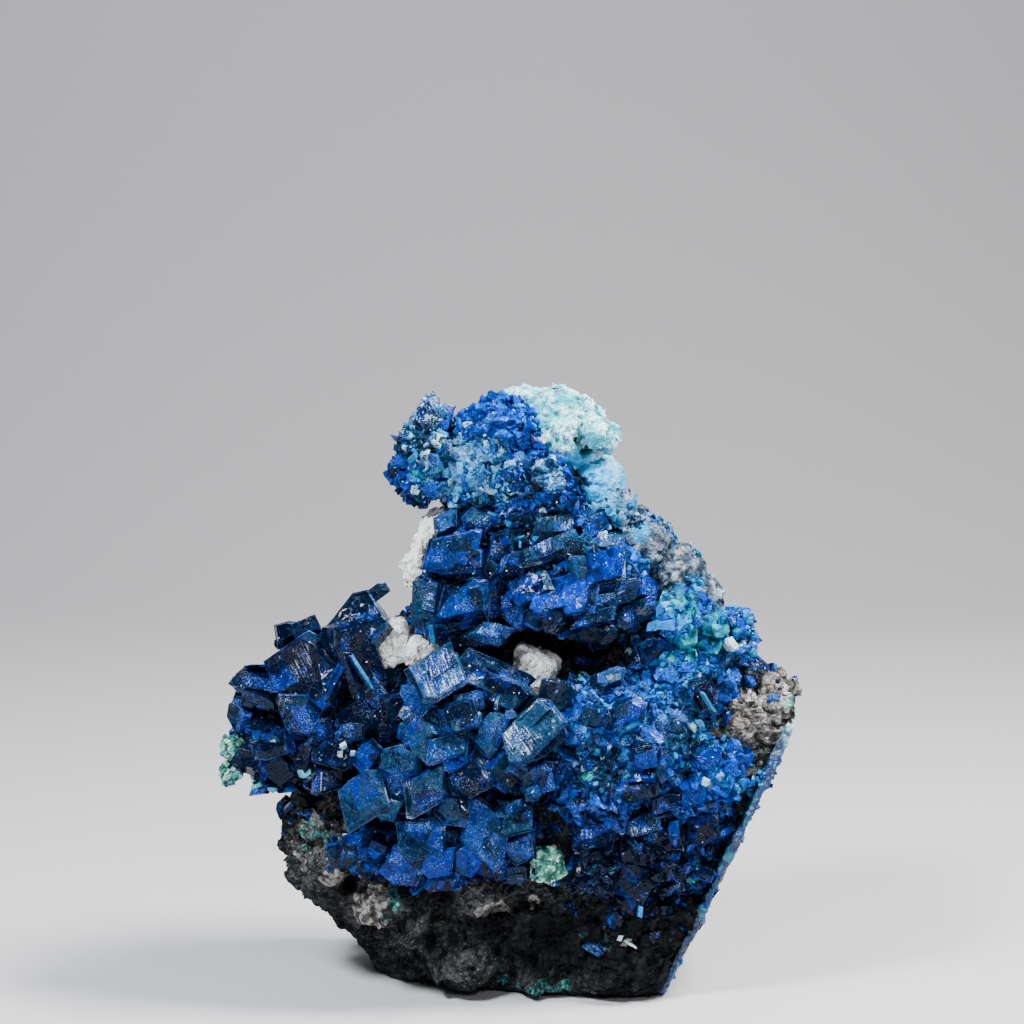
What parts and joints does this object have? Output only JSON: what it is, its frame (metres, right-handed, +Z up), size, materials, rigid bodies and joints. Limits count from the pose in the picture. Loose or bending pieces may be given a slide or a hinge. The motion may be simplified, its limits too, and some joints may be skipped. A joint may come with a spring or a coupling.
{
  "type": "azurite specimen",
  "caption": "Natural mineral specimen of blocky dark blue crystals on dark host rock with pale crust, standing on a broken flat base.",
  "frame": {"origin": "centre of the bounding box, on the resting surface", "axes": "+Z up, +X to the right and -Y towards the viewer of the crystal face"},
  "size_m": [0.0984, 0.0436, 0.1043],
  "materials": {
    "host_rock": "rough granular dark rock with brown lumps and turquoise flecks",
    "banded_rind": "thin turquoise and blue layered crust",
    "white_clay": "chalky white clay",
    "malachite": "fine fibrous green crust",
    "azurite": "glassy deep blue crystal faces",
    "pale_crust": "bumpy porous pale turquoise crust",
    "slope_crust": "dull blue-grey crust with brown patches"
  },
  "bodies": {
    "root": {"host_rock": "host_rock", "side_rind": "banded_rind", "white_clay_middle": "white_clay", "green_nodule": "malachite", "upper_blocks": "azurite", "left_arm_crystals": "azurite", "middle_crystals": "azurite", "lower_blocks": "azurite", "shoulder_druse": "azurite", "low_right_crystals": "azurite", "head_druse": "azurite", "tip_crystals": "azurite", "pale_crest": "pale_crust", "slope_crust": "slope_crust", "green_cap": "malachite", "white_clay_left": "white_clay", "white_clay_neck": "white_clay", "ledge_druse": "azurite", "green_tuft_upper": "malachite", "green_tuft_lower": "malachite"}
  },
  "joints": []
}
